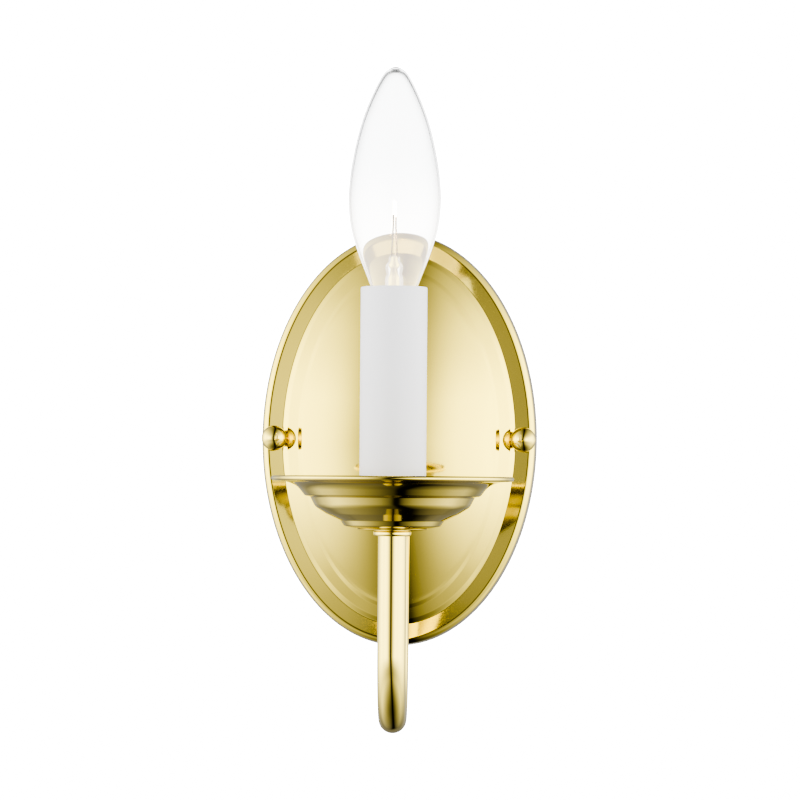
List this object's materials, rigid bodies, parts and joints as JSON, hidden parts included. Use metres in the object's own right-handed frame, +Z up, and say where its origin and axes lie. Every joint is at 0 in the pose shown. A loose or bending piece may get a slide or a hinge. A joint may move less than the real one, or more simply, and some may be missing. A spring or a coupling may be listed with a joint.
{
  "type": "wall sconce",
  "caption": "Electric candle wall sconce: an oval stepped backplate carries a bent pipe arm with a round drip pan, a white candle sleeve and a clear screw-in lamp.",
  "frame": {"origin": "middle of the wall strap's slotted hole line, on the wall plane; also the middle of the oval plate", "axes": "+Y into the wall, -Y out of the wall toward the room, +Z up, +X to the right of someone facing the sconce"},
  "size_m": [0.1016, 0.1337, 0.2304],
  "materials": {
    "polished_brass": "mirror polished and lacquered yellow brass",
    "zinc_steel": "bright zinc plate",
    "green_screw": "green plated earth screw",
    "black_insulation": "satin extruded wire insulation",
    "white_insulation": "satin extruded wire insulation",
    "black_phenolic": "moulded phenolic, low gloss",
    "thread_brass": "plain drawn brass sheet",
    "white_plastic": "smooth satin white plastic",
    "clear_glass": "clear blown glass",
    "nickel_shell": "nickel-plated lamp cap",
    "black_glass": "dark vitreous insulator",
    "solder_tip": "smooth solder",
    "stem_glass": "clear glass mount",
    "nickel_wire": "drawn nickel wire",
    "hot_filament": "coiled tungsten, glowing"
  },
  "bodies": {
    "fixture": {"backplate": "polished_brass", "wall_strap": "zinc_steel", "strap_screw_left": "zinc_steel", "strap_screw_right": "zinc_steel", "ground_screw": "green_screw", "arm_tube": "polished_brass", "arm_hub": "polished_brass", "arm_washer": "zinc_steel", "arm_nut": "zinc_steel", "lead_black": "black_insulation", "lead_white": "white_insulation", "drip_pan": "polished_brass", "pan_seat": "polished_brass", "pan_collar": "polished_brass", "pan_nut": "zinc_steel", "socket_bracket": "zinc_steel", "bracket_rivet": "zinc_steel", "socket_body": "black_phenolic", "contact_rivet": "thread_brass", "socket_contact": "thread_brass", "socket_shell": "thread_brass"},
    "sleeve": {"candle_sleeve": "white_plastic"},
    "washer_left": {"nut_washer_left": "polished_brass"},
    "washer_right": {"nut_washer_right": "polished_brass"},
    "nut_left": {"ball_nut_left": "polished_brass"},
    "nut_right": {"ball_nut_right": "polished_brass"},
    "lamp_foot": {"bulb_tip_contact": "solder_tip"},
    "lamp": {"bulb_glass": "clear_glass", "bulb_shell": "nickel_shell", "bulb_insulator": "black_glass", "bulb_stem": "stem_glass", "bulb_wires": "nickel_wire", "bulb_filament": "hot_filament"}
  },
  "joints": [
    {"name": "lamp_lift", "type": "slide", "parent": "fixture", "child": "lamp_foot", "axis": [0, 0, 1], "range_m": [0, 0.0165]},
    {"name": "lamp_turn", "type": "hinge", "parent": "lamp_foot", "child": "lamp", "pos_m": [0, -0.092, 0.08], "axis": [0, 0, 1], "range_deg": [0, 2339]},
    {"name": "sleeve_turn", "type": "hinge", "parent": "fixture", "child": "sleeve", "pos_m": [0, -0.092, 0.01], "axis": [0, 0, 1], "continuous": true},
    {"name": "nut_left_travel", "type": "slide", "parent": "fixture", "child": "washer_left", "axis": [0, -1, 0], "range_m": [0, 0.006]},
    {"name": "nut_left_turn", "type": "hinge", "parent": "washer_left", "child": "nut_left", "pos_m": [-0.0455, -0.0155, 0], "axis": [0, -1, 0], "range_deg": [0, 2722]},
    {"name": "nut_right_travel", "type": "slide", "parent": "fixture", "child": "washer_right", "axis": [0, -1, 0], "range_m": [0, 0.006]},
    {"name": "nut_right_turn", "type": "hinge", "parent": "washer_right", "child": "nut_right", "pos_m": [0.0455, -0.0155, 0], "axis": [0, -1, 0], "range_deg": [0, 2722]}
  ],
  "couplings": [
    {"joint": "lamp_turn", "follows": "lamp_lift", "rad_per_m": 2473.7},
    {"joint": "nut_left_turn", "follows": "nut_left_travel", "rad_per_m": 7915.8},
    {"joint": "nut_right_turn", "follows": "nut_right_travel", "rad_per_m": 7915.8}
  ]
}
